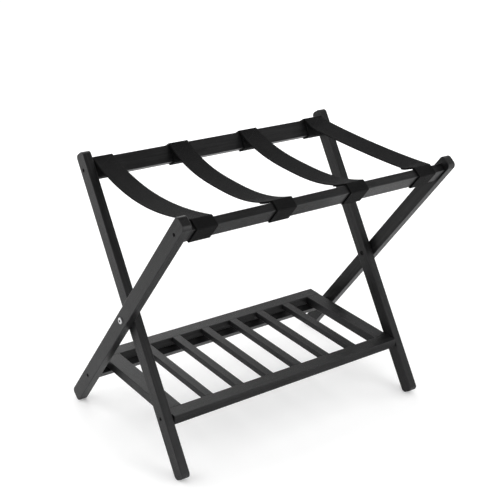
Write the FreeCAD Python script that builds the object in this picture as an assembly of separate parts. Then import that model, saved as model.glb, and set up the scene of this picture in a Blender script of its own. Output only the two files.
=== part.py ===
"""Folding luggage rack: two crossed wooden frames on pivot bolts, four webbing straps and a fold-up slatted shelf.

Millimetres. +X runs along the top rails, +Y from front to back, +Z up. The origin is on the floor, under the
middle of the rack. The outer frame leans forward at its top and the inner frame leans back. Each frame is modelled
upright around its pivot and then tilted: local Z runs up the leg and local Y across it.
"""
import FreeCAD, Part
import math
import os

# Frames
overall_length = 625.0  # outer face to outer face of the outer legs
half_angle = 35.1  # each leg from the vertical when the rack is open, degrees
leg_width = 28.5
leg_thickness = 17.5
leg_above = 319.0  # pivot to the leg's top end
leg_below = 305.5  # pivot to the leg's foot end
leg_corner = 8.8  # rounded corners of the leg's ends
edge_ease = 1.2  # softened long edges of all the wood
pivot_gap = 1.2  # between an outer leg and its inner leg

# Top rails
rail_height = 34.0  # along the leg
rail_depth = 17.0  # across the leg
rail_from_top = 33.0  # leg's top end to the rail's middle
rail_offset = 2.5  # the rail's middle stands off the leg's middle, towards the outside of the rack

# Shelf
hinge_from_foot = 114.4  # leg's foot end to the shelf's hinge axis
hinge_from_shelf_front = 17.7
shelf_thickness = 18.0
shelf_rail_width = 29.0
shelf_end_width = 33.0
shelf_side_gap = 1.7  # between the shelf's end and the inner leg
shelf_overhang = 24.5  # the shelf's back edge behind the line where it rests on the crossbar
seat_clearance = 0.3
slat_count = 6
slat_width = 18.0
slat_thickness = 12.0
crossbar_size = 17.0

# Straps
strap_count = 4
strap_width = 44.0
strap_thickness = 2.0
strap_clearance = 0.3  # around the rails
strap_side_gap = 1.3  # outermost strap to the inner leg
strap_tail = 38.0  # doubled, stitched length beside each rail
strap_sags = (28.0, 31.0, 25.5, 10.5)  # left to right, below the top of the loops
strap_shift = -9.0  # each front loop has slid this far along X from its back loop

# Pivot bolt and its sleeve nut
bolt_radius = 3.0
bolt_head_radius = 6.2
bolt_head_thickness = 2.4  # a button head that stands on the leg's face
bolt_head_round = 1.5
bolt_socket = 4.0  # across flats
bolt_socket_depth = 1.4
nut_radius = 4.0
nut_head_radius = 5.2
nut_head_thickness = 1.8
nut_recess = 3.0  # the nut's head lies in a counterbore this deep
nut_end_gap = 0.6
washer_radius = 8.0
running_clearance = 0.06
head_clearance = 0.3

# Screws through the legs, and the shelf's hinge screws
screw_radius = 2.1
hinge_screw_radius = 2.6
screw_head_radius = 3.4
screw_head_length = 4.0
screw_head_recess = 1.2  # top of the head below the leg's face
screw_bite = 40.0  # length inside the rail
screw_socket = 3.0
screw_socket_depth = 2.2
hinge_washer_radius = 6.5
hinge_washer_gap = 0.25
drill_clearance = 0.05

# Dowels
rail_dowel_radius = 4.0
rail_dowel_spacing = 20.0
rail_dowel_in_leg = 10.0
rail_dowel_in_rail = 20.0
shelf_dowel_radius = 3.5
shelf_dowel_spacing = 17.0
slat_dowel_radius = 3.0
shelf_dowel_wall = 1.5  # wood left between a shelf dowel's hole and the hinge screw's
dowel_end_gap = 0.5

# Places that follow from the sizes above
SIN = math.sin(math.radians(half_angle))
COS = math.cos(math.radians(half_angle))
pivot_height = COS * (leg_below - leg_corner) + SIN * (leg_width / 2 - leg_corner) + leg_corner
outer_leg_face = overall_length / 2
outer_leg_inside = outer_leg_face - leg_thickness
inner_leg_face = outer_leg_inside - pivot_gap
inner_leg_inside = inner_leg_face - leg_thickness
rail_reach = leg_above - rail_from_top
hinge_reach = leg_below - hinge_from_foot
hinge_y = -SIN * hinge_reach
hinge_z = pivot_height - COS * hinge_reach
shelf_bottom = hinge_z - shelf_thickness / 2
shelf_front = hinge_y - hinge_from_shelf_front
shelf_half_length = inner_leg_inside - shelf_side_gap
# The crossbar's upper edge carries the shelf, so its place on the leg comes from the shelf's underside.
crossbar_half = crossbar_size / 2
crossbar_ease_drop = edge_ease * (COS + SIN - 1)
crossbar_rise = crossbar_half * (COS + SIN) - crossbar_ease_drop
crossbar_z = shelf_bottom - seat_clearance - crossbar_rise
crossbar_reach = (pivot_height - crossbar_z) / COS
crossbar_y = SIN * crossbar_reach
shelf_back = crossbar_y + crossbar_half * (COS - SIN) + shelf_overhang
shelf_inner_front = shelf_front + shelf_rail_width
shelf_inner_back = shelf_back - shelf_rail_width
shelf_inner_half = shelf_half_length - shelf_end_width
# A shelf dowel goes this far into each of its two pieces, and stops short of the hinge screw.
shelf_dowel_room = shelf_rail_width - hinge_from_shelf_front - hinge_screw_radius - drill_clearance
shelf_dowel_hole_depth = shelf_dowel_room - shelf_dowel_wall
shelf_dowel_reach = shelf_dowel_hole_depth - dowel_end_gap
slat_z = hinge_z + (shelf_thickness - slat_thickness) / 2  # the slats lie flush with the top of the shelf


def vec(x, y, z):
    return FreeCAD.Vector(x, y, z)


def block(x0, x1, y0, y1, z0, z1):
    return Part.makeBox(x1 - x0, y1 - y0, z1 - z0, vec(x0, y0, z0))


def rod(radius, x0, x1, y=0.0, z=0.0):
    """A cylinder along X."""
    return Part.makeCylinder(radius, x1 - x0, vec(x0, y, z), vec(1, 0, 0))


def hexagon(across_flats, x0, x1, y=0.0, z=0.0):
    """A hexagonal prism along X."""
    corner = across_flats / math.sqrt(3)
    turns = [k * math.pi / 3 for k in range(7)]
    points = [vec(x0, y + corner * math.cos(turn), z + corner * math.sin(turn)) for turn in turns]
    return Part.Face(Part.makePolygon(points)).extrude(vec(x1 - x0, 0, 0))


def ease_along(solid, axis, radius=edge_ease):
    """Rounds the straight edges of a bar that run along the axis."""
    def runs_along(edge):
        step = edge.Vertexes[-1].Point.sub(edge.Vertexes[0].Point)
        return step.Length > radius and abs(abs(step.normalize().dot(axis)) - 1) < 1e-6

    return solid.makeFillet(radius, [edge for edge in solid.Edges if runs_along(edge)])


def mirror_x(shape):
    return shape.mirror(vec(0, 0, 0), vec(1, 0, 0))


def tilted(shape, frame):
    """Puts a shape from a frame's upright local coordinates into its place in the open rack."""
    angle = half_angle if frame == "outer" else -half_angle
    placed = shape.copy()
    placed.rotate(vec(0, 0, 0), vec(1, 0, 0), angle)
    placed.translate(vec(0, 0, pivot_height))
    return placed


def offset_in(frame):
    """Local Y of a top rail's middle."""
    return -rail_offset if frame == "outer" else rail_offset


def rail_dowel_heights():
    return [rail_reach + side * rail_dowel_spacing / 2 for side in (-1, 1)]


def rounded_bar(x0, x1, half_y, z0, z1, corner):
    """A bar along Z with rounded corners in the YZ plane."""
    bar = block(x0, x1, -half_y, half_y, z0, z1)
    along_x = [edge for edge in bar.Edges if edge.BoundBox.XLength > x1 - x0 - 0.01]
    bar = bar.makeFillet(corner, along_x)
    outline = [edge for edge in bar.Edges if edge.BoundBox.XLength < 0.01]
    return bar.makeFillet(edge_ease, outline)


def leg_blank(face, inside):
    return rounded_bar(inside, face, leg_width / 2, -leg_below, leg_above, leg_corner)


def screw_holes(face, inside, y, z, radius):
    """Clearance hole and head recess for a screw driven from a leg's outer face."""
    recess = screw_head_recess + screw_head_length + head_clearance
    hole = rod(radius + drill_clearance, inside, face, y, z)
    return hole.fuse(rod(screw_head_radius + head_clearance, face - recess, face, y, z))


def rail_dowel_holes(inside, y):
    depth = rail_dowel_in_leg + dowel_end_gap
    return [rod(rail_dowel_radius, inside, inside + depth, y, z) for z in rail_dowel_heights()]


def outer_leg():
    """Right outer leg, upright."""
    leg = leg_blank(outer_leg_face, outer_leg_inside)
    cuts = [
        rod(bolt_radius + drill_clearance, outer_leg_inside, outer_leg_face),
        screw_holes(outer_leg_face, outer_leg_inside, offset_in("outer"), rail_reach, screw_radius),
        screw_holes(outer_leg_face, outer_leg_inside, 0, -crossbar_reach, screw_radius),
    ]
    return leg.cut(cuts + rail_dowel_holes(outer_leg_inside, offset_in("outer")))


def inner_leg():
    """Right inner leg, upright. It turns on the sleeve nut, and the shelf's hinge screw turns in it."""
    leg = leg_blank(inner_leg_face, inner_leg_inside)
    hinge_bore = hinge_screw_radius + running_clearance - drill_clearance
    cuts = [
        rod(nut_radius + running_clearance, inner_leg_inside, inner_leg_face),
        rod(nut_head_radius + head_clearance, inner_leg_inside, inner_leg_inside + nut_recess),
        screw_holes(inner_leg_face, inner_leg_inside, offset_in("inner"), rail_reach, screw_radius),
        screw_holes(inner_leg_face, inner_leg_inside, 0, -hinge_reach, hinge_bore),
    ]
    return leg.cut(cuts + rail_dowel_holes(inner_leg_inside, offset_in("inner")))


def top_rail(half_length, y):
    rail = block(-half_length, half_length, y - rail_depth / 2, y + rail_depth / 2,
                 rail_reach - rail_height / 2, rail_reach + rail_height / 2)
    rail = ease_along(rail, vec(1, 0, 0))
    drill = rod(screw_radius + drill_clearance, half_length - screw_bite, half_length, y, rail_reach)
    depth = rail_dowel_in_rail + dowel_end_gap
    bores = [rod(rail_dowel_radius, half_length - depth, half_length, y, z) for z in rail_dowel_heights()]
    holes = [drill] + bores
    return rail.cut(holes + [mirror_x(hole) for hole in holes])


def crossbar():
    bar = block(-outer_leg_inside, outer_leg_inside, -crossbar_half, crossbar_half,
                -crossbar_reach - crossbar_half, -crossbar_reach + crossbar_half)
    bar = ease_along(bar, vec(1, 0, 0))
    drill_end = outer_leg_inside - screw_bite
    drill = rod(screw_radius + drill_clearance, drill_end, outer_leg_inside, 0, -crossbar_reach)
    return bar.cut([drill, mirror_x(drill)])


def leg_screw(face, inside, y, z, radius, bite_end):
    """Socket-head screw driven from a right leg's outer face into the end of the bar inside it."""
    head_top = face - screw_head_recess
    head_seat = head_top - screw_head_length
    screw = rod(screw_head_radius, head_seat, head_top, y, z).fuse(rod(radius, bite_end, head_seat, y, z))
    return screw.cut(hexagon(screw_socket, head_top - screw_socket_depth, head_top, y, z))


def rail_dowels(inside, y):
    return [rod(rail_dowel_radius, inside - rail_dowel_in_rail, inside + rail_dowel_in_leg, y, z)
            for z in rail_dowel_heights()]


def both_ends(shapes):
    """Shapes at the right end of the rack and their copies at the left end, as separate solids."""
    return Part.makeCompound(shapes + [mirror_x(shape) for shape in shapes])


def pivot_bolt():
    head_seat = outer_leg_face
    head_top = head_seat + bolt_head_thickness
    tip = inner_leg_inside + nut_recess + nut_end_gap
    head = rod(bolt_head_radius, head_seat, head_top)
    head = head.makeFillet(bolt_head_round, [edge for edge in head.Edges if edge.BoundBox.XMin > head_top - 0.01])
    bolt = head.fuse(rod(bolt_radius, tip, head_seat))
    return bolt.cut(hexagon(bolt_socket, head_top - bolt_socket_depth, head_top))


def pivot_nut():
    """Sleeve nut: its barrel is the bearing that the inner leg turns on."""
    seat = inner_leg_inside + nut_recess
    head = rod(nut_head_radius, seat - nut_head_thickness, seat)
    barrel = rod(nut_radius, seat, inner_leg_face - nut_end_gap)
    nut = head.fuse(barrel).cut(rod(bolt_radius, seat, inner_leg_face))
    return nut.cut(hexagon(screw_socket, seat - nut_head_thickness, seat - nut_head_thickness / 3))


def pivot_washer():
    washer_face = inner_leg_face + pivot_gap / 6
    return rod(washer_radius, washer_face, outer_leg_inside).cut(
        rod(bolt_radius + drill_clearance, washer_face, outer_leg_inside))


def hinge_screw():
    """The shelf's hinge: fixed in the shelf's front rail, it turns in the inner leg."""
    return leg_screw(inner_leg_face, inner_leg_inside, 0, 0, hinge_screw_radius, shelf_half_length - screw_bite)


def hinge_washer():
    washer_face = inner_leg_inside - hinge_washer_gap
    return rod(hinge_washer_radius, shelf_half_length, washer_face).cut(
        rod(hinge_screw_radius + drill_clearance, shelf_half_length, washer_face))


def at_hinge(shape):
    return shape.translated(vec(0, hinge_y, hinge_z))


def slat_centres():
    clear = 2 * shelf_inner_half - slat_count * slat_width
    gap = clear / (slat_count + 1)
    return [-shelf_inner_half + gap + slat_width / 2 + k * (gap + slat_width) for k in range(slat_count)]


def across_joint(radius, reach, x, joint_y, z):
    """A cylinder along Y across the joint between a long shelf rail and the piece that ends on it."""
    return Part.makeCylinder(radius, 2 * reach, vec(x, joint_y - reach, z), vec(0, 1, 0))


def slat_dowels(reach, x):
    return [across_joint(slat_dowel_radius, reach, x, y, slat_z) for y in (shelf_inner_front, shelf_inner_back)]


def end_dowels(reach, x):
    return [across_joint(shelf_dowel_radius, reach, x, y, hinge_z) for y in (shelf_inner_front, shelf_inner_back)]


def end_dowel_places():
    middle = shelf_inner_half + shelf_end_width / 2
    return [side * middle + step * shelf_dowel_spacing / 2 for side in (-1, 1) for step in (-1, 1)]


def shelf_dowel_holes():
    """Every dowel's hole, at the front and the back joints."""
    holes = [hole for x in slat_centres() for hole in slat_dowels(shelf_dowel_hole_depth, x)]
    return holes + [hole for x in end_dowel_places() for hole in end_dowels(shelf_dowel_hole_depth, x)]


def shelf_bar(x0, x1, y0, y1, thickness, axis):
    """A bar whose top is level with the shelf's."""
    top = hinge_z + shelf_thickness / 2
    return ease_along(block(x0, x1, y0, y1, top - thickness, top), axis)


def long_shelf_rail(y0, y1):
    return shelf_bar(-shelf_half_length, shelf_half_length, y0, y1, shelf_thickness, vec(1, 0, 0))


def shelf_front_rail():
    rail = long_shelf_rail(shelf_front, shelf_inner_front)
    drill_end = shelf_half_length - screw_bite
    drill = rod(hinge_screw_radius + drill_clearance, drill_end, shelf_half_length, hinge_y, hinge_z)
    return rail.cut([drill, mirror_x(drill)] + shelf_dowel_holes())


def shelf_back_rail():
    return long_shelf_rail(shelf_inner_back, shelf_back).cut(shelf_dowel_holes())


def shelf_end():
    """Right end piece."""
    y0, y1 = shelf_inner_front, shelf_inner_back
    end = shelf_bar(shelf_inner_half, shelf_half_length, y0, y1, shelf_thickness, vec(0, 1, 0))
    places = [x for x in end_dowel_places() if x > 0]
    return end.cut([hole for x in places for hole in end_dowels(shelf_dowel_hole_depth, x)])


def shelf_slat(x):
    x0, x1 = x - slat_width / 2, x + slat_width / 2
    slat = shelf_bar(x0, x1, shelf_inner_front, shelf_inner_back, slat_thickness, vec(0, 1, 0))
    return slat.cut(slat_dowels(shelf_dowel_hole_depth, x))


def strap_centres():
    last = inner_leg_inside - strap_side_gap - strap_width / 2
    return [-last + 2 * last * k / (strap_count - 1) for k in range(strap_count)]


def loop_prism(x0, x1, grow, frame):
    """The outline of a top rail grown outwards, as a prism between x0 and x1."""
    y = offset_in(frame)
    half_y, half_z = rail_depth / 2 + grow, rail_height / 2 + grow
    prism = block(x0, x1, y - half_y, y + half_y, rail_reach - half_z, rail_reach + half_z)
    return tilted(ease_along(prism, vec(1, 0, 0), edge_ease + grow), frame)


def web_sector(x0, x1, centre_z, inner, outer, angle_0, angle_1):
    """Part of the hanging web, between two radii about a line above it. Angles run from straight down to the back."""
    def at(radius, angle):
        return vec(x0, radius * math.sin(angle), centre_z - radius * math.cos(angle))

    middle = (angle_0 + angle_1) / 2
    edges = [
        Part.Arc(at(inner, angle_0), at(inner, middle), at(inner, angle_1)).toShape(),
        Part.makeLine(at(inner, angle_1), at(outer, angle_1)),
        Part.Arc(at(outer, angle_1), at(outer, middle), at(outer, angle_0)).toShape(),
        Part.makeLine(at(outer, angle_0), at(inner, angle_0)),
    ]
    return Part.Face(Part.Wire(edges)).extrude(vec(x1 - x0, 0, 0))


def strap_footprint(x, corner_y):
    """The strap seen from above, as a tall prism: straight over each rail and slanted between them."""
    back, front = x, x + strap_shift
    reach = 2 * corner_y
    half = strap_width / 2
    outline = [(front - half, -reach), (front + half, -reach), (front + half, -corner_y), (back + half, corner_y),
               (back + half, reach), (back - half, reach), (back - half, corner_y), (front - half, -corner_y)]
    points = [vec(px, py, 0) for px, py in outline + outline[:1]]
    return Part.Face(Part.makePolygon(points)).extrude(vec(0, 0, 2 * pivot_height + leg_above))


def strap(x, sag):
    """A webbing strap: it hangs in an arc, loops round both rails and is doubled back under itself."""
    spread = strap_width / 2 + abs(strap_shift)
    x0, x1 = x - spread, x + spread
    inside = edge_ease + strap_clearance
    loop_radius = inside + strap_thickness
    # Centre of the rounding at the back rail's highest edge, which the web leaves over.
    up = rail_reach + rail_height / 2 - edge_ease
    across = offset_in("inner") - rail_depth / 2 + edge_ease
    corner_y = COS * across + SIN * up
    corner_z = pivot_height + COS * up - SIN * across
    rise = sag - loop_radius
    web_radius = (corner_y ** 2 + rise ** 2 - loop_radius ** 2) / (2 * sag)
    centre_z = corner_z - rise + web_radius
    reach = math.atan2(corner_y, centre_z - corner_z)
    under = web_radius + strap_thickness
    tail_angle = strap_tail / web_radius
    solid = web_sector(x0, x1, centre_z, web_radius, under, -reach, reach)
    for side in (-1, 1):
        ends = sorted((side * reach, side * (reach - tail_angle)))
        solid = solid.fuse(web_sector(x0, x1, centre_z, under, under + strap_thickness, *ends))
    for frame in ("outer", "inner"):
        solid = solid.fuse(loop_prism(x0, x1, strap_clearance + strap_thickness, frame))
    for frame in ("outer", "inner"):
        solid = solid.cut(loop_prism(x0 - 1, x1 + 1, strap_clearance, frame))
    return solid.common(strap_footprint(x, corner_y)).removeSplitter()


def left_and_right(name, right):
    return {name + "_right": right, name + "_left": mirror_x(right)}


def rack():
    """Every sub-part by the name of its node."""
    parts = {}
    parts.update(left_and_right("outer_leg", tilted(outer_leg(), "outer")))
    parts.update(left_and_right("inner_leg", tilted(inner_leg(), "inner")))
    parts["front_top_rail"] = tilted(top_rail(outer_leg_inside, offset_in("outer")), "outer")
    parts["back_top_rail"] = tilted(top_rail(inner_leg_inside, offset_in("inner")), "inner")
    parts["rear_crossbar"] = tilted(crossbar(), "outer")

    for name, frame, face, inside in (("front", "outer", outer_leg_face, outer_leg_inside),
                                      ("back", "inner", inner_leg_face, inner_leg_inside)):
        y = offset_in(frame)
        screw = leg_screw(face, inside, y, rail_reach, screw_radius, inside - screw_bite)
        parts[name + "_rail_screws"] = tilted(both_ends([screw]), frame)
        parts[name + "_rail_dowels"] = tilted(both_ends(rail_dowels(inside, y)), frame)
    crossbar_screw = leg_screw(outer_leg_face, outer_leg_inside, 0, -crossbar_reach, screw_radius,
                               outer_leg_inside - screw_bite)
    parts["crossbar_screws"] = tilted(both_ends([crossbar_screw]), "outer")

    parts.update(left_and_right("pivot_bolt", tilted(pivot_bolt(), "outer")))
    parts.update(left_and_right("pivot_nut", tilted(pivot_nut(), "outer")))
    parts.update(left_and_right("pivot_washer", tilted(pivot_washer(), "outer")))

    parts["shelf_front_rail"] = shelf_front_rail()
    parts["shelf_back_rail"] = shelf_back_rail()
    parts.update(left_and_right("shelf_end", shelf_end()))
    for number, x in enumerate(slat_centres(), 1):
        parts[f"shelf_slat_{number}"] = shelf_slat(x)
    parts["slat_dowels"] = Part.makeCompound(
        [dowel for x in slat_centres() for dowel in slat_dowels(shelf_dowel_reach, x)])
    parts["shelf_corner_dowels"] = Part.makeCompound(
        [dowel for x in end_dowel_places() for dowel in end_dowels(shelf_dowel_reach, x)])
    parts.update(left_and_right("shelf_hinge_screw", at_hinge(hinge_screw())))
    parts.update(left_and_right("shelf_hinge_washer", at_hinge(hinge_washer())))

    for number, (x, sag) in enumerate(zip(strap_centres(), strap_sags), 1):
        parts[f"strap_{number}"] = strap(x, sag)
    return parts


os.makedirs("parts", exist_ok=True)
for node, shape in rack().items():
    shape.exportStep(f"parts/{node}.step")
print(f"pivot at z {pivot_height:.2f}, shelf hinge at y {hinge_y:.2f} z {hinge_z:.2f}, "
      f"shelf y {shelf_front:.2f} to {shelf_back:.2f}, crossbar y {crossbar_y:.2f} z {crossbar_z:.2f}")
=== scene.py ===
"""Looks for the folding luggage rack: painted timber, sewn webbing straps and plated fixings."""

import math

import bpy
import numpy as np
from mathutils import Matrix, Vector


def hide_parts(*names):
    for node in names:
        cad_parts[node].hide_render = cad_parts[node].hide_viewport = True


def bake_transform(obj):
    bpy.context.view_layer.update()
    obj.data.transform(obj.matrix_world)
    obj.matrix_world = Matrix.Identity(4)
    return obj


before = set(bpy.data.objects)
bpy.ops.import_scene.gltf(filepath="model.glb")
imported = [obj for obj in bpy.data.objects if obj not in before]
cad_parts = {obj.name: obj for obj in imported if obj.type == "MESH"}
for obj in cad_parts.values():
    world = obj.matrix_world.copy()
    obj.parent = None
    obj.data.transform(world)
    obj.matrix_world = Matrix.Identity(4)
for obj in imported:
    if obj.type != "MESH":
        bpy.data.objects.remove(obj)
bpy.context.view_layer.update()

# ---------------------------------------------------------------- sizes, in metres

LEG_TILT = math.radians(35.1)
PIVOT_Z = 0.254677
BOLT_SOCKET = (0.0022, 0.0030)  # painted shade inside the first radius, none outside the second
RAIL_REACH = 0.286  # pivot to the middle of a top rail, along the leg
RAIL_HALF_HEIGHT = 0.017
RAIL_HALF_DEPTH = 0.0085
RAIL_OFFSET = 0.0025
RAIL_DROP = 0.038  # from a top rail's highest edge down to its lowest

WEB_WIDTH = 0.044
WEB_THICKNESS = 0.0020
WEB_CUP = 0.0009  # a web's middle hangs this far below its selvedges
LOOP_CLEARANCE = 0.0008
BEND_RADIUS = 0.0024  # of the webbing round a rail's arrises
BEND_STEPS = 5
BEND_SHARE = 0.49  # most of a straight run that one bend may take
STRAIGHT = 0.02  # a corner of fewer radians is left as it is

# One value for each strap, from left to right.
BACK_LOOP_X = (-0.253, -0.084333, 0.084333, 0.253)
FRONT_SHIFT = (-0.0082, -0.0092, -0.0100, -0.0078)  # how far the front loop has slid along its rail
FRONT_SLANT = (0.0040, 0.0, -0.0005, 0.0020)  # how much further its lower side has slid than its top
SAG_LEFT_EDGE = (0.0300, 0.0330, 0.0285, 0.0050)
SAG_RIGHT_EDGE = (0.0250, 0.0300, 0.0240, 0.0055)
SAG_POWER = (2.0, 2.6, 2.6, 2.2)  # 2 hangs in a plain curve, more is flatter in the middle
SAG_SKEW = (0.10, 0.04, 0.0, 0.0)  # moves the lowest point towards the back
DIP_LEFT_EDGE = (0.0, 0.001, 0.0015, 0.0088)  # the left edge tips down close to the loops
DIP_LENGTH = 0.032

SEAM_LENGTH = 0.034
SEAM_STEPS = 8
TAIL_DEPTH = WEB_THICKNESS * 1.02  # middle of the web to middle of the tail sewn under it
TAIL_INSET = 0.0004  # the fold at a tail's root stops this short of the rail
WEB_STEPS = 56

ROWS_ALONG = 420
ROWS_ACROSS = (0.0, 0.012, 0.035, 0.065, 0.11, 0.2, 0.3, 0.4, 0.5,
               0.6, 0.7, 0.8, 0.89, 0.935, 0.965, 0.988, 1.0)  # shares of the width, closer at the selvedges
BEND_WEIGHT = 0.011  # length of straight strap that has as many rows as one radian of bend
SELVEDGE_CORD = 0.0019  # selvedge to the thicker cord beside it
SELVEDGE_CORD_WIDTH = 0.0011
SELVEDGE_CORD_SWELL = 0.10  # share of the thickness that the cord adds
SELVEDGE_ROUNDING = 1.3  # depth of the rounding, in half thicknesses
SELVEDGE_THINNEST = 0.08  # share of the thickness left at the very edge

GRAIN_STRETCH = 0.035  # the grain's size across the timber, as a share of its size along it
PICK = 0.0021  # one rib of the weave, along the strap
CORD = 0.0011  # one warp cord, across the strap
UNSHADED_FROM = 0.155  # the web between the loops; outside this stretch each strap's loops and tails get painted shade
UNSHADED_TO = 0.480
UNSHADED_FADE = 0.020  # to either side of each end

SEWN_BOX = ((0.10, 0.004), (0.90, 0.004), (0.90, 0.030), (0.10, 0.030))  # share across, metres from the rail
SEWN_FACES = (0.5, -1.52)  # thicknesses above the web's middle line
POINTS_IN_SEAM = 25
STITCH_PITCH = 0.0032
STITCH_LENGTH = 0.0025
THREAD_RADIUS = 0.00033
THREAD_SIDES = 6
STITCH_STEPS = 6
STITCH_CROWN = 1.6  # thread radii that a stitch's middle stands up, and its ends dip by one

# ---------------------------------------------------------------- colours, linear

PAINT_DARK, PAINT_PALE = (0.0036, 0.0036, 0.0038), (0.0124, 0.0124, 0.0128)
# the second colour is paler paint on the arrises: wear, with a painted highlight
PAINT_IN_PORES, PAINT_WORN_AND_HIGHLIGHT = (0.0022, 0.0022, 0.0023), (0.026, 0.026, 0.0266)
YARN_DARK, YARN_PALE = (0.0038, 0.0038, 0.0039), (0.0160, 0.0160, 0.0165)
# the second colour is painted shade on the webbing's loops, tails and selvedges
YARN_FADED, YARN_SHADED = (0.016, 0.016, 0.0164), (0.0012, 0.0012, 0.0012)
THREAD_DARK, THREAD_PALE = (0.0030, 0.0030, 0.0031), (0.0110, 0.0110, 0.0113)
# the last colour is painted shade in a bolt's hex socket
ZINC_DULL, ZINC_BRIGHT, SOCKET_SHADE = (0.40, 0.40, 0.41), (0.62, 0.62, 0.62), (0.035, 0.035, 0.036)
OXIDE_DARK, OXIDE_PALE = (0.0015, 0.0015, 0.0016), (0.0080, 0.0078, 0.0076)
NYLON_DARK, NYLON_PALE = (0.012, 0.012, 0.012), (0.026, 0.026, 0.027)
BEECH_DARK, BEECH_PALE, BEECH_FLECK = (0.42, 0.27, 0.14), (0.58, 0.41, 0.24), (0.25, 0.14, 0.07)

# ---------------------------------------------------------------- shader sockets with arithmetic


class Val:
    """A socket in a node tree that takes part in Python arithmetic. Each operator has its reflected form, so
    that 1 - mask works."""

    def __init__(self, tree, socket):
        self.tree, self.socket = tree, socket

    def _math(self, operation, *operands):
        """A Math node on the operands, which are this value alone where none are given."""
        node = self.tree.nodes.new("ShaderNodeMath")
        node.operation = operation
        for socket, operand in zip(node.inputs, operands or (self,)):
            feed(self.tree, socket, operand)
        return Val(self.tree, node.outputs[0])

    def __add__(self, other):
        return self._math("ADD", self, other)

    def __radd__(self, other):
        return self._math("ADD", other, self)

    def __sub__(self, other):
        return self._math("SUBTRACT", self, other)

    def __rsub__(self, other):
        return self._math("SUBTRACT", other, self)

    def __mul__(self, other):
        return self._math("MULTIPLY", self, other)

    def __rmul__(self, other):
        return self._math("MULTIPLY", other, self)

    def __truediv__(self, other):
        return self._math("DIVIDE", self, other)

    def __rtruediv__(self, other):
        return self._math("DIVIDE", other, self)

    def __pow__(self, other):
        return self._math("POWER", self, other)

    def __rpow__(self, other):
        return self._math("POWER", other, self)

    def __abs__(self):
        return self._math("ABSOLUTE")

    def floor(self):
        return self._math("FLOOR")

    def fract(self):
        return self._math("FRACT")

    def least(self, other):
        return self._math("MINIMUM", self, other)

    def most(self, other):
        return self._math("MAXIMUM", self, other)

    def wave(self):
        """A sine of this many radians, from 0 to 1."""
        return self._math("SINE") * 0.5 + 0.5

    def ramp(self, low, high):
        """0 at low and 1 at high with a smooth step between, held at both ends."""
        node = self.tree.nodes.new("ShaderNodeMapRange")
        node.interpolation_type = "SMOOTHSTEP"
        feed(self.tree, node.inputs["Value"], self)
        node.inputs["From Min"].default_value = low
        node.inputs["From Max"].default_value = high
        return Val(self.tree, node.outputs["Result"])


def feed(tree, socket, value):
    """Links a Val to the socket, or sets the socket to a plain number, vector or colour."""
    if isinstance(value, Val):
        tree.links.new(value.socket, socket)
    elif hasattr(value, "__len__") and socket.type == "RGBA":
        socket.default_value = (*value[:3], 1)
    else:
        socket.default_value = value


def in_radians(turn):
    return [math.radians(angle) for angle in turn]


class Finish:
    """A material being built around one Principled shader."""

    def __init__(self, name):
        self.material = bpy.data.materials.new(name)
        self.material.use_nodes = True
        self.tree = self.material.node_tree
        self.shader = self.tree.nodes["Principled BSDF"]

    def node(self, kind, output=0, settings=None, **sockets):
        """Adds a node: its settings first, then the values or links of its sockets."""
        node = self.tree.nodes.new(kind)
        for key, value in (settings or {}).items():
            setattr(node, key, value)
        for key, value in sockets.items():
            wanted = key.replace("_", " ").lower()
            feed(self.tree, next(s for s in node.inputs if s.enabled and s.name.lower() == wanted), value)
        outputs = [s for s in node.outputs if s.enabled]
        return Val(self.tree, node.outputs[output] if isinstance(output, str) else outputs[output])

    def place(self, turn=(0, 0, 0), scale=(1, 1, 1)):
        """Object coordinates, turned about X, Y, Z in degrees and stretched."""
        where = self.node("ShaderNodeTexCoord", "Object")
        turned = self.node("ShaderNodeMapping", vector=where, rotation=in_radians(turn))
        return self.node("ShaderNodeMapping", vector=turned, scale=scale)

    def facing(self, turn):
        """The way the surface faces, in object coordinates turned as in place."""
        facing = self.node("ShaderNodeTexCoord", "Normal")
        return self.node("ShaderNodeMapping", settings={"vector_type": "NORMAL"}, vector=facing,
                         rotation=in_radians(turn))

    def noise(self, vector, scale, detail=2.0, roughness=0.5, distortion=0.0):
        return self.node("ShaderNodeTexNoise", "Fac", vector=vector, scale=scale, detail=detail,
                         roughness=roughness, distortion=distortion)

    def parts_of(self, vector):
        node = self.tree.nodes.new("ShaderNodeSeparateXYZ")
        feed(self.tree, node.inputs[0], vector)
        return [Val(self.tree, socket) for socket in node.outputs]

    def blend_colours(self, factor, low, high):
        """The colour low where factor is 0, and high where it is 1."""
        return self.node("ShaderNodeMix", settings={"data_type": "RGBA"}, factor=factor, A=low, B=high)

    def bump(self, height, distance, strength):
        return self.node("ShaderNodeBump", height=height, distance=distance, strength=strength)

    def surface(self, **sockets):
        for key, value in sockets.items():
            feed(self.tree, self.shader.inputs[key.replace("_", " ")], value)
        return self.material


# ---------------------------------------------------------------- finishes


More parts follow.
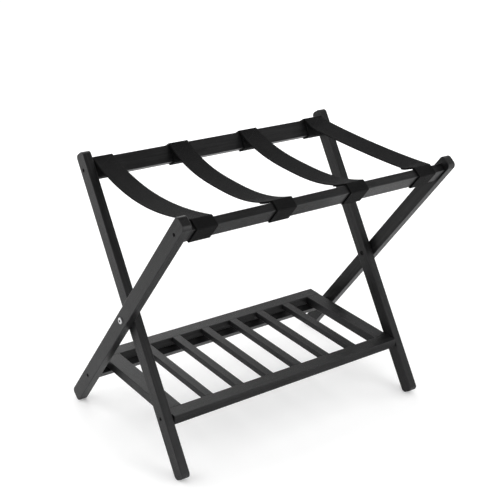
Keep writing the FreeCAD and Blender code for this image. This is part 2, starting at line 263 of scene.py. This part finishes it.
def painted_timber(name, turn, lengthways):
    """Satin black paint over straight-grained timber, paler along its arrises from wear and a painted
    highlight. The grain runs along one axis of the turned coordinates."""
    finish = Finish(name)
    stretch = [1.0, 1.0, 1.0]
    stretch["XYZ".index(lengthways)] = GRAIN_STRETCH
    along = finish.place(turn, stretch)
    here = finish.place(turn)
    grain = finish.noise(along, 620.0, 3.0, 0.6, 0.25)
    streak = finish.noise(along, 260.0, 3.0, 0.6, 0.4)
    pores = finish.noise(along, 1900.0, 2.0, 0.5).ramp(0.60, 0.70)
    figure = finish.noise(along, 95.0, 2.0, 0.55, 0.6)
    cloud = finish.noise(here, 9.0, 3.0, 0.55)
    orange_peel = finish.noise(here, 900.0, 1.0, 0.5)
    paler_mask = finish.noise(here, 34.0, 4.0, 0.65)
    x, y, z = (abs(part) for part in finish.parts_of(finish.facing(turn)))
    arris = 1 - x.most(y).most(z).ramp(0.90, 0.985)
    tone = (figure - 0.5) * 0.6 + (cloud - 0.5) * 0.5 + (streak - 0.5) * 0.7 + (grain - 0.5) * 0.6 + 0.5
    paint = finish.blend_colours(tone.ramp(0.2, 0.8), PAINT_DARK, PAINT_PALE)
    paint = finish.blend_colours(pores * 0.45, paint, PAINT_IN_PORES)
    # the arrises are made paler, for wear and as a painted highlight
    paint = finish.blend_colours(arris * (paler_mask.ramp(0.30, 0.62) * 0.75 + 0.2), paint, PAINT_WORN_AND_HIGHLIGHT)
    rough = 0.36 + (paler_mask - 0.5) * 0.16 + (streak - 0.5) * 0.10 + (grain - 0.5) * 0.10 + pores * 0.06
    height = grain * 0.5 + streak * 0.4 + figure * 0.4 - pores * 0.7 + orange_peel * 0.18
    return finish.surface(Base_Color=paint, Roughness=rough, Normal=finish.bump(height, 0.00030, 0.40),
                          Specular_IOR_Level=0.145)


def woven_webbing():
    """Black webbing: warp cords run along it and picks cross it, in a two-up two-down weave."""
    finish = Finish("black_webbing")
    u, v, _ = finish.parts_of(finish.node("ShaderNodeUVMap", settings={"uv_map": "strap"}))
    cord = u / CORD
    pick = v / PICK
    step = (cord.floor() * 0.5).fract() * 2.0
    warp = (cord * (2 * math.pi)).wave()
    over = ((pick + step * 0.5) * (2 * math.pi)).wave()
    drawn_out = finish.node("ShaderNodeCombineXYZ", x=u * 9000.0, y=v * 900.0, z=0.0)
    fibres = finish.noise(drawn_out, 1.0, 2.0, 0.6)
    fuzz = finish.noise(finish.place(), 420.0, 3.0, 0.6)
    faded = finish.noise(finish.place(), 22.0, 3.0, 0.6)
    height = warp * 0.45 + over * 0.55 + (fibres - 0.5) * 0.25
    lit = height.ramp(0.15, 0.95)
    edge = u.least(WEB_WIDTH - u).ramp(0.0002, 0.0011)
    past_front = v.ramp(UNSHADED_FROM - UNSHADED_FADE, UNSHADED_FROM + UNSHADED_FADE)
    past_back = v.ramp(UNSHADED_TO - UNSHADED_FADE, UNSHADED_TO + UNSHADED_FADE)
    paler_mask = past_front * (1 - past_back)
    yarn = finish.blend_colours(lit, YARN_DARK, YARN_PALE)
    yarn = finish.blend_colours(faded.ramp(0.45, 0.8) * 0.3 + fuzz.ramp(0.5, 0.8) * 0.15, yarn, YARN_FADED)
    # painted shade on the loops and tails outside the web's stretch, and along the selvedges
    yarn = finish.blend_colours((1 - paler_mask) * 0.40, yarn, YARN_SHADED)
    yarn = finish.blend_colours((1 - edge) * 0.85, yarn, YARN_SHADED)
    return finish.surface(Base_Color=yarn, Roughness=0.80 - lit * 0.14 + (fuzz - 0.5) * 0.1,
                          Normal=finish.bump(height, 0.00035, 0.7), Specular_IOR_Level=0.045)


def sewing_thread():
    """Black thread with its twist."""
    finish = Finish("black_thread")
    x, y, z = finish.parts_of(finish.place())
    twist = ((x + y + z) * 5200.0).wave()
    return finish.surface(Base_Color=finish.blend_colours(twist, THREAD_DARK, THREAD_PALE),
                          Roughness=0.55 + twist * 0.15, Normal=finish.bump(twist, 0.0001, 0.5),
                          Specular_IOR_Level=0.15)


def plated_steel():
    """Zinc-plated bolt head: faint turning rings about its axis, small scuffs and painted shade in its
    socket.
    """
    finish = Finish("zinc_plated_steel")
    x, y, z = finish.parts_of(finish.place())
    up = z - PIVOT_Z
    radius = (y * y + up * up) ** 0.5
    rings = (radius * 21000.0).wave()
    scuff = finish.noise(finish.place(), 260.0, 4.0, 0.7)
    stain = finish.noise(finish.place(), 700.0, 2.0, 0.5)
    colour = finish.blend_colours(stain.ramp(0.3, 0.8), ZINC_DULL, ZINC_BRIGHT)
    # painted shade in the hex socket
    colour = finish.blend_colours(1 - radius.ramp(*BOLT_SOCKET), colour, SOCKET_SHADE)
    return finish.surface(Base_Color=colour, Metallic=1.0, Roughness=0.24 + scuff * 0.2 + rings * 0.04,
                          Normal=finish.bump(rings * 0.4 + scuff * 0.6, 0.00006, 0.5))


def blackened_steel():
    """Dull black oxide on the recessed screws and the nuts."""
    finish = Finish("black_oxide_steel")
    oxide = finish.noise(finish.place(), 520.0, 4.0, 0.65)
    patch = finish.noise(finish.place(), 150.0, 2.0, 0.5)
    return finish.surface(Base_Color=finish.blend_colours(oxide.ramp(0.35, 0.75), OXIDE_DARK, OXIDE_PALE),
                          Metallic=0.2, Roughness=0.52 + patch * 0.2, Normal=finish.bump(oxide, 0.00006, 0.5),
                          Specular_IOR_Level=0.12)


def nylon():
    """Washers: black nylon with a fine grit."""
    finish = Finish("black_nylon")
    grit = finish.noise(finish.place(), 900.0, 3.0, 0.6)
    return finish.surface(Base_Color=finish.blend_colours(grit, NYLON_DARK, NYLON_PALE),
                          Roughness=0.52 + grit * 0.12, Normal=finish.bump(grit, 0.00005, 0.4))


def bare_beech():
    """Dowels: pale beech with short dark flecks."""
    finish = Finish("bare_beech")
    fleck = finish.noise(finish.place(scale=(0.2, 1, 1)), 900.0, 2.0, 0.6).ramp(0.55, 0.7)
    figure = finish.noise(finish.place(scale=(0.1, 1, 1)), 260.0, 3.0, 0.5, 0.4)
    colour = finish.blend_colours(figure, BEECH_DARK, BEECH_PALE)
    colour = finish.blend_colours(fleck * 0.5, colour, BEECH_FLECK)
    return finish.surface(Base_Color=colour, Roughness=0.62 + fleck * 0.1,
                          Normal=finish.bump(figure, 0.0001, 0.4))


outer_turn = (-math.degrees(LEG_TILT), 0, 0)
inner_turn = (math.degrees(LEG_TILT), 0, 0)
timber = {
    "outer_leg": painted_timber("painted_outer_leg", outer_turn, "Z"),
    "inner_leg": painted_timber("painted_inner_leg", inner_turn, "Z"),
    "outer_bar": painted_timber("painted_outer_rail", outer_turn, "X"),
    "inner_bar": painted_timber("painted_inner_rail", inner_turn, "X"),
    "shelf_rail": painted_timber("painted_shelf_rail", (0, 0, 0), "X"),
    "shelf_slat": painted_timber("painted_shelf_slat", (0, 0, 0), "Y"),
}
webbing = woven_webbing()
thread = sewing_thread()
zinc = plated_steel()
oxide_steel = blackened_steel()
washer_nylon = nylon()
beech = bare_beech()


def finish_of(node):
    if "dowels" in node:
        return beech
    if "washer" in node:
        return washer_nylon
    if node.startswith("pivot_bolt"):
        return zinc
    if node.startswith("pivot_nut") or "screw" in node:
        return oxide_steel
    if node.startswith("strap"):
        return webbing
    if node.startswith("outer_leg"):
        return timber["outer_leg"]
    if node.startswith("inner_leg"):
        return timber["inner_leg"]
    if node in ("front_top_rail", "rear_crossbar"):
        return timber["outer_bar"]
    if node == "back_top_rail":
        return timber["inner_bar"]
    if node in ("shelf_front_rail", "shelf_back_rail"):
        return timber["shelf_rail"]
    return timber["shelf_slat"]


for node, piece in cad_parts.items():
    if not piece.material_slots:
        piece.data.materials.append(None)
    for slot in piece.material_slots:
        slot.material = finish_of(node)

# ---------------------------------------------------------------- straps


def smooth_bend(points):
    """Rounds the corners of a polyline with arcs of about the bend radius."""
    out = [points[0]]
    for before, here, after in zip(points, points[1:], points[2:]):
        a, b = before - here, after - here
        turn = math.pi - a.angle(b)
        if turn < STRAIGHT:
            out.append(here)
            continue
        cut = min(BEND_RADIUS * math.tan(turn / 2), a.length * BEND_SHARE, b.length * BEND_SHARE)
        start, end = here + a.normalized() * cut, here + b.normalized() * cut
        for k in range(BEND_STEPS + 1):
            t = k / BEND_STEPS
            out.append(start * (1 - t) ** 2 + here * (2 * t * (1 - t)) + end * t ** 2)
    out.append(points[-1])
    return out


def loop_corners(side):
    """Corners of the webbing's middle line round a top rail, as (y, z): from the highest one, over the top
    and round. side is -1 for the front rail and +1 for the back rail."""
    grow = LOOP_CLEARANCE + WEB_THICKNESS / 2
    corners = []
    for across, up in ((-1, 1), (1, 1), (1, -1), (-1, -1)):
        out = RAIL_OFFSET + across * (RAIL_HALF_DEPTH + grow)
        along = RAIL_REACH + up * (RAIL_HALF_HEIGHT + grow)
        y = out * math.cos(LEG_TILT) + along * math.sin(LEG_TILT)
        z = PIVOT_Z + along * math.cos(LEG_TILT) - out * math.sin(LEG_TILT)
        corners.append(Vector((side * y, z)))
    return corners


FRONT_LOOP, BACK_LOOP = loop_corners(-1), loop_corners(1)
HALF_SPAN = BACK_LOOP[0].x
SPAN = 2 * HALF_SPAN
LOOP_TOP = BACK_LOOP[0].y


def strap_x(number, across, t):
    """Where a lengthwise line of a strap lies along the rails, at t from 0 at the front to 1 at the back."""
    back = BACK_LOOP_X[number] + (across - 0.5) * WEB_WIDTH
    return (back + FRONT_SHIFT[number]) * (1 - t) + back * t


def web_depth(number, across, t):
    """How far the web's middle line hangs below the top of the loops."""
    sag = SAG_LEFT_EDGE[number] * (1 - across) + SAG_RIGHT_EDGE[number] * across
    s = 2 * t - 1
    slack = sag * (1 - abs(s) ** SAG_POWER[number]) * (1 + SAG_SKEW[number] * s)
    near = min(1, SPAN * min(t, 1 - t) / DIP_LENGTH)
    dip = DIP_LEFT_EDGE[number] * (1 - across) * near * near * (3 - 2 * near)
    cup = WEB_CUP * (1 - (2 * across - 1) ** 2) * min(1, 6 * t * (1 - t))
    return slack + dip + cup


def strap_curve(number, across):
    """A lengthwise line of a strap, at across from 0 on its left edge to 1 on its right: the front tail, the
    front loop, the web, the back loop and the back tail."""

    def web_point(t, below=0.0):
        return Vector((-HALF_SPAN + SPAN * t, LOOP_TOP - web_depth(number, across, t) - below))

    tail = [SEAM_LENGTH / SPAN * k / SEAM_STEPS for k in range(1, SEAM_STEPS + 1)]
    line = [web_point(t, TAIL_DEPTH) for t in reversed(tail)]
    line += [FRONT_LOOP[0] + Vector((TAIL_INSET, -WEB_THICKNESS)), *reversed(FRONT_LOOP)]
    line += [web_point(k / WEB_STEPS) for k in range(1, WEB_STEPS)]
    line += [*BACK_LOOP, BACK_LOOP[0] + Vector((-TAIL_INSET, -WEB_THICKNESS))]
    line += [web_point(1 - t, TAIL_DEPTH) for t in tail]
    points = []
    for y, z in smooth_bend(line):
        t = min(1, max(0, (y + HALF_SPAN) / SPAN))
        drop = min(1, max(0, (LOOP_TOP - z) / RAIL_DROP)) if y < -HALF_SPAN else 0
        points.append((strap_x(number, across, t) + FRONT_SLANT[number] * drop, y, z))
    return np.array(points)


def distances(points):
    """How far along its line each point is."""
    return np.concatenate([[0], np.cumsum(np.linalg.norm(np.diff(points, axis=0), axis=1))])


def spread(points, count):
    """Distances along the line for count rows, closer together where it bends."""
    along = distances(points)
    direction = np.diff(points, axis=0) / np.maximum(np.diff(along), 1e-9)[:, None]
    turn = np.zeros(len(points))
    turn[1:-1] = np.arccos(np.clip((direction[1:] * direction[:-1]).sum(1), -1, 1))
    weight = along + np.cumsum(turn) * BEND_WEIGHT
    return np.interp(np.linspace(0, weight[-1], count), weight, along)


def unit(vectors):
    return vectors / np.linalg.norm(vectors, axis=2, keepdims=True)


def half_thickness():
    """Half the webbing's thickness on each row across: rounded selvedges, and a thicker cord beside them."""
    across = np.array(ROWS_ACROSS)
    from_edge = np.minimum(across, 1 - across) * WEB_WIDTH
    half = WEB_THICKNESS / 2
    roundness = np.sqrt(np.clip(1 - (1 - np.clip(from_edge / (half * SELVEDGE_ROUNDING), 0, 1)) ** 2, 0, 1))
    cord = 1.0 + SELVEDGE_CORD_SWELL * np.exp(-((from_edge - SELVEDGE_CORD) / SELVEDGE_CORD_WIDTH) ** 2)
    return half * np.maximum(roundness, SELVEDGE_THINNEST) * cord


def strap_mesh(number):
    """A strap as a closed skin, with two woven faces, rounded selvedges and a UV map in metres. Gives its
    mesh and its length."""
    at = spread(strap_curve(number, 0.5), ROWS_ALONG)
    rows = []
    for across in ROWS_ACROSS:
        line = strap_curve(number, across)
        along = distances(line)
        place = at / at[-1] * along[-1]
        rows.append(np.stack([np.interp(place, along, line[:, k]) for k in range(3)], 1))
    rows = np.array(rows)
    normal = unit(np.cross(unit(np.gradient(rows, axis=0)), unit(np.gradient(rows, axis=1))))
    rise = normal * half_thickness()[:, None, None]
    n, m = len(ROWS_ACROSS), ROWS_ALONG
    below = n * m  # from a point of the upper face to the one under it
    verts = np.concatenate([(rows + rise).reshape(-1, 3), (rows - rise).reshape(-1, 3)])
    u = np.array(ROWS_ACROSS) * WEB_WIDTH
    faces, uvs = [], []

    def quad(corners, turned):
        """A face from four (row across, row along, is below) corners."""
        for i, j, under in reversed(corners) if turned else corners:
            uvs.append((u[i], at[j]))
            faces.append(i * m + j + (below if under else 0))

    for i in range(n - 1):
        for j in range(m - 1):
            for under in (False, True):
                quad([(i, j, under), (i + 1, j, under), (i + 1, j + 1, under), (i, j + 1, under)], under)
    for j in range(m - 1):
        for i in (0, n - 1):
            quad([(i, j, False), (i, j + 1, False), (i, j + 1, True), (i, j, True)], i > 0)
    for i in range(n - 1):
        for j in (0, m - 1):
            quad([(i, j, True), (i + 1, j, True), (i + 1, j, False), (i, j, False)], j > 0)
    mesh = bpy.data.meshes.new(f"strap_{number + 1}_webbing")
    mesh.from_pydata(verts.tolist(), [], np.array(faces).reshape(-1, 4).tolist())
    layer = mesh.uv_layers.new(name="strap")
    layer.data.foreach_set("uv", np.array(uvs, float).ravel())
    mesh.materials.append(webbing)
    mesh.polygons.foreach_set("use_smooth", [True] * len(mesh.polygons))
    mesh.update()
    return mesh, float(at[-1])


# ---------------------------------------------------------------- stitches


def socket_id(tree, name):
    return next(item.identifier for item in tree.interface.items_tree if item.name == name)


def stitch_tree():
    """Lays a short bent thread at even steps along every seam curve."""
    tree = bpy.data.node_groups.new("seam_stitches", "GeometryNodeTree")
    tree.is_modifier = True
    face = tree.interface
    face.new_socket("Geometry", in_out="INPUT", socket_type="NodeSocketGeometry")
    for name in ("Stitch Pitch", "Stitch Length", "Thread Radius"):
        face.new_socket(name, in_out="INPUT", socket_type="NodeSocketFloat")
    face.new_socket("Thread Material", in_out="INPUT", socket_type="NodeSocketMaterial")
    face.new_socket("Geometry", in_out="OUTPUT", socket_type="NodeSocketGeometry")
    given = tree.nodes.new("NodeGroupInput").outputs

    def add(kind, settings=None, **sockets):
        """Adds a node: its settings first, then the values or links of its sockets."""
        node = tree.nodes.new(kind)
        for key, value in (settings or {}).items():
            setattr(node, key, value)
        for key, value in sockets.items():
            socket = node.inputs[key.replace("_", " ")]
            if isinstance(value, bpy.types.NodeSocket):
                tree.links.new(value, socket)
            else:
                feed(tree, socket, value)
        return node.outputs[0]

    half = Val(tree, given["Stitch Length"]) * 0.5
    radius = Val(tree, given["Thread Radius"])
    crown = radius * STITCH_CROWN
    dip = radius * -1.0
    arc = add("GeometryNodeCurveQuadraticBezier", Resolution=STITCH_STEPS,
              Start=add("ShaderNodeCombineXYZ", X=dip, Z=half * -1.0),
              Middle=add("ShaderNodeCombineXYZ", X=crown),
              End=add("ShaderNodeCombineXYZ", X=dip, Z=half))
    circle = add("GeometryNodeCurvePrimitiveCircle", Resolution=THREAD_SIDES, Radius=radius)
    stitch = add("GeometryNodeCurveToMesh", Fill_Caps=True, Curve=arc, Profile_Curve=circle)
    upright = add("GeometryNodeSetCurveNormal", {"mode": "FREE"}, Normal=(0, 0, 1), Curve=given["Geometry"])
    points = add("GeometryNodeCurveToPoints", {"mode": "LENGTH"}, Length=given["Stitch Pitch"], Curve=upright)
    placed = add("GeometryNodeInstanceOnPoints", Points=points, Instance=stitch,
                 Rotation=points.node.outputs["Rotation"])
    smooth = add("GeometryNodeSetShadeSmooth", Geometry=add("GeometryNodeRealizeInstances", Geometry=placed))
    painted = add("GeometryNodeSetMaterial", Geometry=smooth, Material=given["Thread Material"])
    tree.links.new(painted, tree.nodes.new("NodeGroupOutput").inputs[0])
    return tree


def add_object(name, data):
    obj = bpy.data.objects.new(name, data)
    bpy.context.scene.collection.objects.link(obj)
    return obj


def plain(obj):
    """The object with its modifiers made into its mesh, as a new object with none."""
    mesh = bpy.data.meshes.new_from_object(obj.evaluated_get(bpy.context.evaluated_depsgraph_get()))
    name = obj.name
    bpy.data.objects.remove(obj, do_unlink=True)
    return add_object(name, mesh)


def seam_rows(number, side):
    """The sewn box of one seam as lists of points, on both faces of the webbing. side is -1 at the front rail
    and +1 at the back rail."""
    rows = [(SEWN_BOX[k], SEWN_BOX[(k + 1) % 4]) for k in range(4)]
    rows += [(SEWN_BOX[0], SEWN_BOX[2]), (SEWN_BOX[1], SEWN_BOX[3])]
    made = []
    for start, end in rows:
        for layer in SEWN_FACES:
            points = []
            for share in np.linspace(0, 1, POINTS_IN_SEAM):
                across, inwards = (a + (b - a) * share for a, b in zip(start, end))
                t = inwards / SPAN if side < 0 else 1 - inwards / SPAN
                z = LOOP_TOP - web_depth(number, across, t) + layer * WEB_THICKNESS
                points.append((strap_x(number, across, t), -HALF_SPAN + SPAN * t, z))
            made.append(points)
    return made


def sew(name, side, tree):
    """All the stitches at one rail as one mesh."""
    curve = bpy.data.curves.new(name, "CURVE")
    curve.dimensions = "3D"
    for number in range(len(BACK_LOOP_X)):
        for points in seam_rows(number, side):
            spline = curve.splines.new("POLY")
            spline.points.add(len(points) - 1)
            for place, point in zip(spline.points, points):
                place.co = (*point, 1)
    seam = add_object(name, curve)
    modifier = seam.modifiers.new("stitches", "NODES")
    modifier.node_group = tree
    for label, value in (("Stitch Pitch", STITCH_PITCH), ("Stitch Length", STITCH_LENGTH),
                         ("Thread Radius", THREAD_RADIUS), ("Thread Material", thread)):
        modifier[socket_id(tree, label)] = value
    return plain(seam)


def hang(piece):
    """Bakes the piece's placement into its mesh."""
    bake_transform(piece)


for number in range(len(BACK_LOOP_X)):
    mesh, length = strap_mesh(number)
    strap = add_object(mesh.name, mesh)
    hang(strap)
    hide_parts(f"strap_{number + 1}")

stitches = stitch_tree()
for name, side in (("front_seam_stitches", -1), ("back_seam_stitches", 1)):
    hang(sew(name, side, stitches))

# ---------------------------------------------------------------- floor, light and camera

FLOOR_RADIUS = 9.0
SWEEP_RADIUS = 3.0
SWEEP_STEPS = 8
WALL_TOP = 3.8
FLOOR_SIDES = 96
FLOOR_GLOW = 0.34
FULL_GLOW = (0.9, 2.6)  # half the glow inside the first radius, all of it outside the second

WORLD_STRENGTH = 0.70
LIGHTS_AIM = (0, 0, 0.25)
LIGHTS = (  # name, place, size, watts
    ("left_light", (-1.6, 0.3, 0.7), 0.9, 5),
    ("front_light", (0.6, -2.4, 0.5), 1.0, 16),
    ("front_right_light", (1.4, -2.2, 1.2), 1.2, 12),
    ("right_light", (2.4, 0.0, 1.2), 1.4, 10),
    ("back_light", (0.6, 2.6, 1.7), 2.2, 29),
    ("back_left_light", (-1.8, 2.0, 1.5), 1.6, 17),
)

CAMERA_PLACE = (-1.2204, -1.5252, 1.1974)
CAMERA_YAW, CAMERA_PITCH, CAMERA_ROLL = in_radians((38.11, 24.11, 3.22))
LENS = 79.12
SENSOR = 36


def floor_mesh():
    """A round floor whose far rim sweeps up into a low wall."""
    profile = [(radius, 0.0) for radius in (0.6, 1.5, 3.0, 6.0)]
    for k in range(SWEEP_STEPS + 1):
        turn = math.pi / 2 * k / SWEEP_STEPS
        profile.append((FLOOR_RADIUS + SWEEP_RADIUS * math.sin(turn), SWEEP_RADIUS * (1 - math.cos(turn))))
    profile.append((FLOOR_RADIUS + SWEEP_RADIUS, WALL_TOP))
    points = [(0.0, 0.0, 0.0)]
    for radius, height in profile:
        for k in range(FLOOR_SIDES):
            turn = 2 * math.pi * k / FLOOR_SIDES
            points.append((radius * math.cos(turn), radius * math.sin(turn), height))
    faces = [(0, 1 + k, 1 + (k + 1) % FLOOR_SIDES) for k in range(FLOOR_SIDES)]
    for ring in range(len(profile) - 1):
        inner, outer = 1 + ring * FLOOR_SIDES, 1 + (ring + 1) * FLOOR_SIDES
        for k in range(FLOOR_SIDES):
            after = (k + 1) % FLOOR_SIDES
            faces.append((inner + k, outer + k, outer + after, inner + after))
    mesh = bpy.data.meshes.new("floor")
    mesh.from_pydata(points, [], faces)
    mesh.polygons.foreach_set("use_smooth", [True] * len(mesh.polygons))
    return mesh


def set_floor():
    """The floor is pale, and glows a little more away from the rack."""
    floor = add_object("floor", floor_mesh())
    finish = Finish("pale_floor")
    x, y, _ = finish.parts_of(finish.place())
    far = ((x * x + y * y) ** 0.5).ramp(*FULL_GLOW)
    glow = finish.blend_colours(far, (0.5, 0.5, 0.5), (1.0, 1.0, 1.0))
    floor.data.materials.append(finish.surface(Base_Color=(0.93, 0.93, 0.93), Roughness=0.9,
                                               Specular_IOR_Level=0.1, Emission_Color=glow,
                                               Emission_Strength=FLOOR_GLOW))


def set_light():
    world = bpy.data.worlds.new("studio")
    bpy.context.scene.world = world
    world.use_nodes = True
    background = world.node_tree.nodes["Background"]
    background.inputs["Color"].default_value = (1, 1, 1, 1)
    background.inputs["Strength"].default_value = WORLD_STRENGTH
    for name, place, size, watts in LIGHTS:
        light = bpy.data.lights.new(name, "AREA")
        light.shape = "SQUARE"
        light.size = size
        light.energy = watts
        lamp = add_object(name, light)
        lamp.location = place
        lamp.rotation_euler = (Vector(LIGHTS_AIM) - Vector(place)).to_track_quat("-Z", "Y").to_euler()
        lamp.visible_camera = False


def set_camera():
    """The camera looks down the yaw and pitch, and is then rolled about its line of sight."""
    level = Vector((math.cos(CAMERA_YAW), -math.sin(CAMERA_YAW), 0))
    ahead = Vector((math.sin(CAMERA_YAW), math.cos(CAMERA_YAW), 0))
    forward = ahead * math.cos(CAMERA_PITCH) - Vector((0, 0, math.sin(CAMERA_PITCH)))
    upward = level.cross(forward)
    right = level * math.cos(CAMERA_ROLL) + upward * math.sin(CAMERA_ROLL)
    up = upward * math.cos(CAMERA_ROLL) - level * math.sin(CAMERA_ROLL)
    data = bpy.data.cameras.new("camera")
    data.sensor_width = SENSOR
    data.lens = LENS
    camera = add_object("camera", data)
    turn = Matrix((right, up, -forward)).transposed()
    camera.matrix_world = Matrix.Translation(CAMERA_PLACE) @ turn.to_4x4()
    bpy.context.scene.camera = camera


set_floor()
set_light()
set_camera()
bpy.context.scene.view_settings.view_transform = "Standard"
